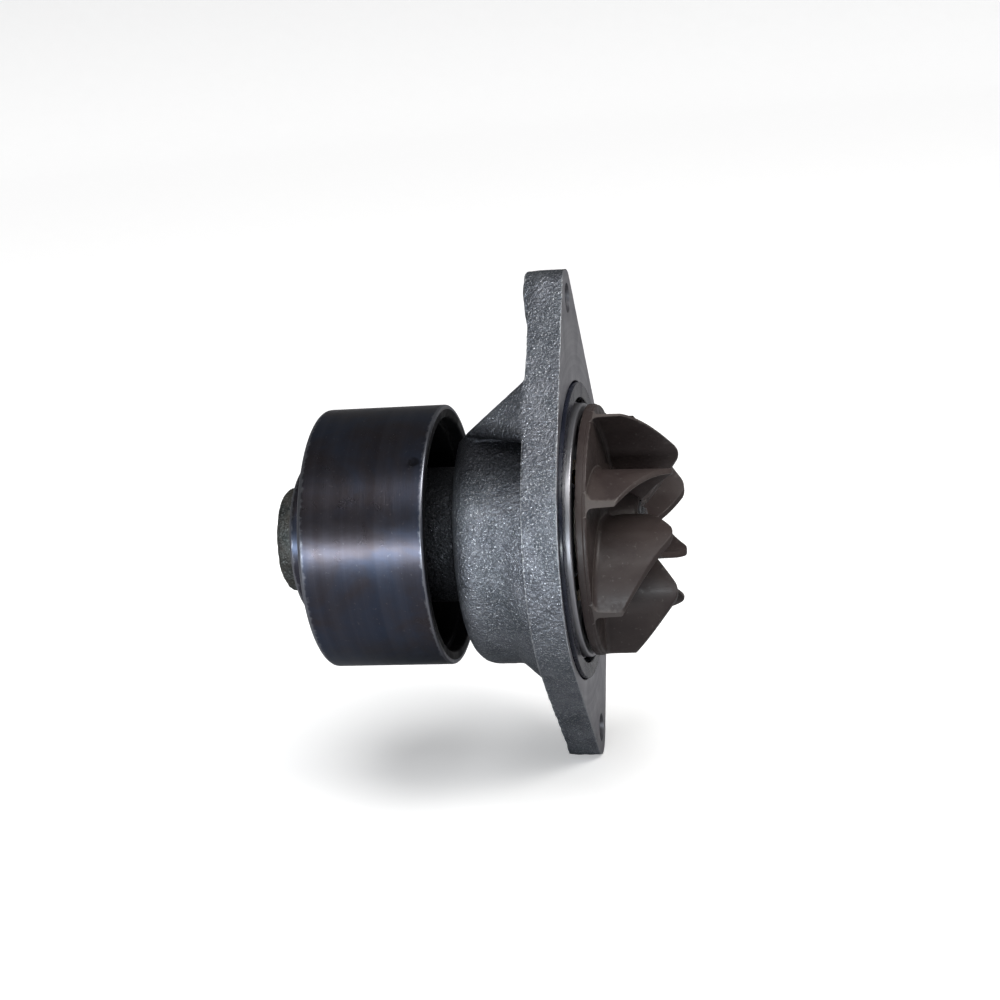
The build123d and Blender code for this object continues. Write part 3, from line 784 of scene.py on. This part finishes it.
def vane_section(foot, top, half):
    """Upright section of a vane as (x, sideways) points, from one foot over the top to the other."""
    thin = half * vane_draft
    side = []
    for k in range(6):
        a = math.pi / 2 * k / 5
        reach = foot_fillet * (1 - math.sin(a))
        side.append((foot + foot_fillet * (1 - math.cos(a)), half + reach))
    for share in (0.45, 0.75):
        side.append((foot + (top - foot) * share, half + (thin - half) * share))
    for k in range(5):
        a = math.pi / 2 * k / 4
        side.append((top - edge_round * (1 - math.sin(a)), thin - edge_round * (1 - math.cos(a))))
    other = [(x, -shift) for x, shift in reversed(side)]
    return [(foot - 1.2 * mm, side[0][1])] + side + other + [(foot - 1.2 * mm, -side[0][1])]


# %% Loft one vane
def vane_mesh():
    """One vane about angle zero, closed at both ends."""
    bm = bmesh.new()
    count = 46
    rows = []
    for k in range(count + 1):
        r = inner_radius + (outer_radius - inner_radius) * k / count
        inset = min(k, count - k)
        outward = max(0.0, (r - tip_radius) / (outer_radius - tip_radius))
        half = vane_thickness / 2 * (0.86, 0.96, 1.0)[min(inset, 2)] * (1 - end_taper * outward)
        angle = vane_angle(r)
        lean = r * (vane_angle(r + 0.1 * mm) - vane_angle(r - 0.1 * mm)) / (0.2 * mm)
        stretch = math.sqrt(1 + lean * lean)
        row = []
        for x, shift in vane_section(disc_surface(r), free_edge(r), half):
            turn = angle + shift * stretch / r
            row.append(bm.verts.new((x, r * math.cos(turn), r * math.sin(turn))))
        rows.append(row)
    for here, ahead in zip(rows, rows[1:]):
        for i in range(len(here)):
            n = (i + 1) % len(here)
            bm.faces.new((here[i], here[n], ahead[n], ahead[i]))
    bm.faces.new(rows[0])
    bm.faces.new(rows[-1])
    return finish_mesh(bm, "impeller_moulding", 30)


# %% [markdown]
# The tree that repeats the vane takes the count and the first angle as named inputs. It puts
# that many points on the shaft, sets a copy of the vane on each, turned by its share of a
# full turn, and ends by making the copies real and giving them the plastic.

# %% Geometry Nodes tree that sets the vanes round the shaft
def ring_tree():
    tree = bpy.data.node_groups.new("set_round_the_shaft", "GeometryNodeTree")
    tree.interface.new_socket("Geometry", in_out="INPUT", socket_type="NodeSocketGeometry")
    tree.interface.new_socket("Count", in_out="INPUT", socket_type="NodeSocketInt")
    tree.interface.new_socket("First Angle", in_out="INPUT", socket_type="NodeSocketFloat")
    tree.interface.new_socket("Finish", in_out="INPUT", socket_type="NodeSocketMaterial")
    tree.interface.new_socket("Geometry", in_out="OUTPUT", socket_type="NodeSocketGeometry")
    given = tree.nodes.new("NodeGroupInput").outputs
    target = tree.nodes.new("NodeGroupOutput").inputs
    points = add(tree, "GeometryNodeMeshLine", Count=given["Count"], Offset=(0, 0, 0))
    step = sum_of(tree, "DIVIDE", 2 * math.pi, given["Count"])
    number = add(tree, "GeometryNodeInputIndex").outputs[0]
    angle = sum_of(tree, "MULTIPLY_ADD", number, step, given["First Angle"])
    turn = add(tree, "ShaderNodeCombineXYZ", X=angle).outputs[0]
    copies = add(
        tree, "GeometryNodeInstanceOnPoints", Points=points.outputs[0],
        Instance=given["Geometry"], Rotation=turn)
    real = add(tree, "GeometryNodeRealizeInstances", Geometry=copies.outputs[0])
    worn = add(
        tree, "GeometryNodeSetMaterial", Geometry=real.outputs[0], Material=given["Finish"])
    feed(tree, target["Geometry"], worn.outputs[0])
    return tree


def run_tree(piece, tree, **values):
    """Runs a tree on a piece with its named inputs, and keeps the result as a plain mesh."""
    step = piece.modifiers.new("build", "NODES")
    step.node_group = tree
    for key, value in values.items():
        step[tree.interface.items_tree[key.replace("_", " ")].identifier] = value
    return apply_modifiers(piece)


impeller_piece = vane_mesh()
run_tree(
    impeller_piece, ring_tree(), Count=vane_count, First_Angle=first_angle, Finish=plastic)
print("vanes", len(impeller_piece.data.polygons), "faces")

# %% [markdown]
# The disc and hub are made on the lathe, with a fine step round the rim. Joining them to the vanes
# with a boolean leaves one closed skin with a crease where each fillet meets the disc, as
# the parting lines of a mould do.

# %% Disc and hub
disc_corners = [
    (disc_back, insert_high.z, 0.1 * mm), (disc_back, disc_radius, 0.5 * mm),
    (disc_front - 1.1 * mm, disc_radius, 0.15 * mm),
    (disc_front - 0.9 * mm, disc_radius - 0.35 * mm, 0.1 * mm),
    (disc_front, disc_radius - 0.35 * mm, 0.5 * mm),
    (disc_front + 1.4 * mm, hub_foot + 4 * mm, 2.0 * mm),
    (disc_front + 3.2 * mm, hub_foot, 2.2 * mm), (hub_top - 0.8 * mm, hub_radius, 0.6 * mm),
    (hub_top, hub_radius - 0.8 * mm, 0.4 * mm), (hub_top, insert_high.z, 0.1 * mm)]
disc = lathe("disc", rounded(disc_corners), 256, 30)
disc.data.materials.append(plastic)
combine(impeller_piece, disc, "UNION")
impeller_piece.data.shade_smooth()
impeller_piece.data.set_sharp_from_angle(angle=math.radians(30))
store_edges(impeller_piece, 40, 1)
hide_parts("impeller")
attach(impeller_piece, "rotor")
print("impeller", len(impeller_piece.data.polygons), "faces")

# %% [markdown]
# ## Finishes for the pieces that keep their CAD shape
#
# The seal ring, the shaft and everything inside the bore keep their CAD meshes. Most of them
# can't be seen until the pump is taken apart, but each still gets the finish of its real
# material. Two recipes cover them: a turned metal, and a rubber or plastic with a soft
# surface. Only their numbers differ.

# %% Two recipes
def turned_metal(name, dark, light, smooth, rough, pitch):
    """Metal with turning lines between two colours and two roughnesses."""
    material, tree, shader = new_material(name, 1.0, rough)
    lines = use_group(tree, lines_group, Pitch=pitch, Unevenness=1.0)
    smudge = use_group(tree, smudge_group, Size=7.0, Contrast=1.0)
    base = mixed(tree, lines["Streak"], dark, light)
    base = mixed(tree, sum_of(tree, "MULTIPLY", smudge["Fleck"], 0.3), base, dark)
    feed(tree, shader.inputs["Base Color"], base)
    feed(tree, shader.inputs["Roughness"], remap(tree, smudge["Cloud"], 0, 1, smooth, rough))
    bump(tree, shader, lines["Height"], 0.01 * mm)
    return material


def soft_stuff(name, dark, light, smooth, rough, grain_size, grain_depth):
    """Rubber, plastic, carbon or ceramic: no metal, a fine grain and faint clouds."""
    material, tree, shader = new_material(name, 0.0, rough)
    smudge = use_group(tree, smudge_group, Size=8.0, Contrast=1.0)
    grain = use_group(tree, grain_group, Size=grain_size, Sharpness=0.5)
    base = mixed(tree, smudge["Cloud"], dark, light)
    base = mixed(tree, sum_of(tree, "MULTIPLY", grain["Glint"], 0.3), base, light)
    feed(tree, shader.inputs["Base Color"], base)
    feed(tree, shader.inputs["Roughness"], remap(tree, smudge["Cloud"], 0, 1, smooth, rough))
    bump(tree, shader, grain["Height"], grain_depth)
    return material


# %% Give each remaining node its finish
ring_rubber = soft_stuff(
    "seal_ring_rubber", tint(20, 23, 34), tint(30, 33, 46), 0.2, 0.3, 0.8, 0.01 * mm)
lip_rubber = soft_stuff(
    "bearing_lip_rubber", tint(24, 24, 26), tint(34, 33, 33), 0.45, 0.6, 0.6, 0.04 * mm)
bearing_steel = turned_metal(
    "ground_bearing_steel", tint(150, 152, 156), tint(176, 178, 182), 0.16, 0.3, 0.12)
shaft_steel = turned_metal(
    "ground_shaft_steel", tint(140, 142, 147), tint(182, 184, 188), 0.18, 0.34, 0.1)
zinc_steel = turned_metal(
    "zinc_steel", tint(120, 124, 130), tint(160, 163, 168), 0.3, 0.42, 0.3)
spring_steel = turned_metal(
    "spring_steel", tint(128, 128, 132), tint(150, 150, 154), 0.25, 0.35, 0.4)
seal_brass = turned_metal(
    "drawn_brass", tint(150, 122, 70), tint(184, 152, 92), 0.24, 0.36, 0.25)
finishes = {
    "flange_seal_ring": ring_rubber,
    "weep_filter": soft_stuff(
        "filter_foam", tint(46, 46, 44), tint(74, 72, 66), 0.85, 0.95, 1.1, 0.5 * mm),
    "bearing_outer_sleeve": bearing_steel,
    "bearing_seal_front": lip_rubber,
    "bearing_seal_rear": lip_rubber,
    "seal_case": seal_brass,
    "seal_bellows": soft_stuff(
        "bellows_rubber", tint(22, 22, 24), tint(32, 32, 33), 0.5, 0.65, 0.5, 0.03 * mm),
    "seal_spring": spring_steel,
    "spring_seat": zinc_steel,
    "bellows_band": zinc_steel,
    "carbon_ring": soft_stuff(
        "carbon_graphite", tint(40, 41, 43), tint(58, 59, 61), 0.3, 0.42, 0.3, 0.01 * mm),
    "shaft": shaft_steel,
    "impeller_insert": turned_metal(
        "insert_steel", tint(168, 170, 174), tint(206, 208, 211), 0.2, 0.3, 0.2),
    "slinger": zinc_steel,
    "mating_ring": soft_stuff(
        "ceramic", tint(206, 202, 190), tint(226, 222, 212), 0.14, 0.24, 0.4, 0.004 * mm),
    "mating_ring_cup": lip_rubber,
    "bearing_balls": bearing_steel,
    "ball_cage": soft_stuff(
        "cage_nylon", tint(176, 160, 120), tint(196, 182, 146), 0.4, 0.5, 0.6, 0.02 * mm),
    "bearing_rollers": bearing_steel,
}
finishes["roller_cage"] = finishes["ball_cage"]
for node_name, finish in finishes.items():
    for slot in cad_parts[node_name].material_slots:
        slot.material = finish
print("finishes on", len(finishes), "CAD nodes")

# %% [markdown]
# ## Floor and light
#
# A dark metal part shows its form through what it reflects. A large pale floor that curves
# up at its rim stays plain from every side. Seen straight on it glows a little, but what
# bounces off it is darker, as if grey cards stood round the pump; without that, the metal
# would wash out. One long, low strip in front lays a bright line along the pulley, a soft
# key box above it lifts the flange, and a box from the impeller's side opens up the turned
# face and the vanes. An overhead light with no reflection of its own lights the floor.

# %% Pale floor
floor_z = cad_box[0].z
bm = bmesh.new()
floor_radius = 2.6
wall_round = 1.2
floor_segments = 96
floor_turns = [2 * math.pi * k / floor_segments for k in range(floor_segments)]
paper_glow = 0.34
profile = [(floor_radius * k / 6, 0.0) for k in range(7)]
profile += [
    (floor_radius + wall_round * math.sin(a), wall_round * (1 - math.cos(a)))
    for a in (math.radians(6 * k) for k in range(1, 16))]
rings = []
for r, rise in profile:
    if r == 0:
        rings.append([bm.verts.new((0, 0, floor_z))] * floor_segments)
    else:
        height = floor_z + rise
        rings.append([bm.verts.new((r * math.cos(a), r * math.sin(a), height)) for a in floor_turns])
for here, ahead in zip(rings, rings[1:]):
    for k in range(floor_segments):
        n = (k + 1) % floor_segments
        bm.faces.new(list(dict.fromkeys((here[k], here[n], ahead[n], ahead[k]))))
floor_mesh = bpy.data.meshes.new("pale_floor")
bm.to_mesh(floor_mesh)
bm.free()
floor_mesh.shade_smooth()
floor = mesh_object("pale_floor", floor_mesh)
paper, tree, shader = new_material("pale_paper", 0.0, 0.9)
fibre = add(
    tree, "ShaderNodeTexNoise", Vector=add(tree, "ShaderNodeTexCoord").outputs["Object"],
    Scale=40.0, Detail=4.0)
seen = mixed(tree, fibre.outputs["Fac"], tint(240, 240, 240), tint(246, 246, 246))
direct = add(tree, "ShaderNodeLightPath").outputs["Is Camera Ray"]
feed(tree, shader.inputs["Base Color"], mixed(tree, direct, tint(150, 150, 152), seen))
shader.inputs["Emission Color"].default_value = (1, 1, 1, 1)
feed(tree, shader.inputs["Emission Strength"], sum_of(tree, "MULTIPLY", direct, paper_glow))
floor.data.materials.append(paper)


# %% Lights
def soft_box(name, place, aim, width, height, watts, colour=(1, 1, 1)):
    """Rectangular light at a place, facing a point."""
    data = bpy.data.lights.new(name, "AREA")
    data.shape = "RECTANGLE"
    data.size = width
    data.size_y = height
    data.energy = watts
    data.color = colour
    lamp = bpy.data.objects.new(name, data)
    scene.collection.objects.link(lamp)
    lamp.location = place
    lamp.rotation_euler = (Vector(aim) - Vector(place)).to_track_quat("-Z", "Y").to_euler()
    return lamp


middle = (cad_box[0] + cad_box[1]) / 2
soft_box("front_strip", (-0.22, -1.05, 0.07), middle, 1.1, 0.11, 7.0, (0.88, 0.95, 1.0))
soft_box("key_box", (0.1, -0.75, 1.05), middle, 0.7, 0.5, 3.4)
soft_box("side_box", (0.75, -0.25, 0.85), middle, 0.5, 0.5, 6.0, (1.0, 0.98, 0.95))
overhead = bpy.data.lights.new("overhead", "SUN")
overhead.energy = 1.9
overhead.angle = math.radians(50)
overhead_lamp = bpy.data.objects.new("overhead", overhead)
scene.collection.objects.link(overhead_lamp)
overhead_lamp.visible_glossy = False
world = bpy.data.worlds.new("room")
scene.world = world
world.use_nodes = True
sky = world.node_tree.nodes["Background"]
sky.inputs["Color"].default_value = (1, 1, 1, 1)
sky.inputs["Strength"].default_value = 0.1
scene.view_settings.view_transform = "Standard"

# %% [markdown]
# ## Camera
#
# The camera stands half a metre away, a little above the pump and slightly to its impeller
# side, with a gentle roll. Its place is worked out from the point it looks at, a distance
# and two angles, so each number means something by itself.

# %% Camera
aim = Vector((-23.07, -1.76, 10.36)) * mm
distance = 508.3 * mm
azimuth = math.radians(11.7)
elevation = math.radians(15.93)
roll = math.radians(5.35)
towards_camera = Vector((
    math.sin(azimuth) * math.cos(elevation), -math.cos(azimuth) * math.cos(elevation),
    math.sin(elevation)))
level_right = Vector((0, 0, 1)).cross(towards_camera).normalized()
level_up = towards_camera.cross(level_right)
right = level_right * math.cos(roll) - level_up * math.sin(roll)
up = level_up * math.cos(roll) + level_right * math.sin(roll)
lens = bpy.data.cameras.new("camera")
lens.lens = 63.3
lens.sensor_width = 36
lens.clip_start = 0.01
lens.clip_end = 20
camera = bpy.data.objects.new("camera", lens)
scene.collection.objects.link(camera)
axes = Matrix((right, up, towards_camera)).transposed().to_4x4()
camera.matrix_world = Matrix.Translation(aim + towards_camera * distance) @ axes
scene.camera = camera
